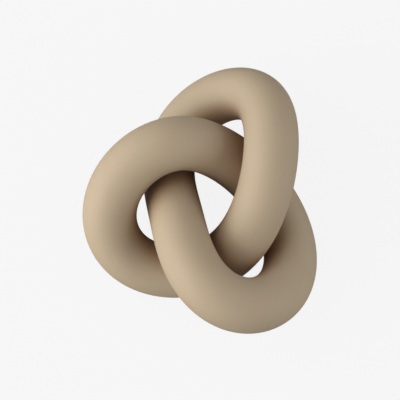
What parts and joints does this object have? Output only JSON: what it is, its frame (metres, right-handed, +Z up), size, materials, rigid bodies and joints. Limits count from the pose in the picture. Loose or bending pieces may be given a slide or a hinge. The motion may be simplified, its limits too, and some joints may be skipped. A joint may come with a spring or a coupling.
{
  "type": "metal knot sculpture",
  "caption": "Thick round metal tube tied into a right-handed trefoil knot with a matt sand coat, lying flat on small rubber feet.",
  "frame": {"origin": "on the table, under the middle of the knot's outline seen from above", "axes": "+Z up from the table, +Y along the longer side of the outline towards the top lobe's tip, +X to the right seen from the front"},
  "size_m": [0.1664, 0.1959, 0.0866],
  "materials": {
    "coated_castings": "matte",
    "coated_welds": "matte",
    "sleeve_steel": "satin",
    "foot_rubber": "matte"
  },
  "bodies": {
    "root": {"top_lobe": "coated_castings", "left_lobe": "coated_castings", "right_lobe": "coated_castings", "top_left_weld": "coated_welds", "left_right_weld": "coated_welds", "right_top_weld": "coated_welds", "top_left_sleeve": "sleeve_steel", "left_right_sleeve": "sleeve_steel", "right_top_sleeve": "sleeve_steel", "top_foot": "foot_rubber", "left_foot": "foot_rubber", "right_foot": "foot_rubber"}
  },
  "joints": []
}
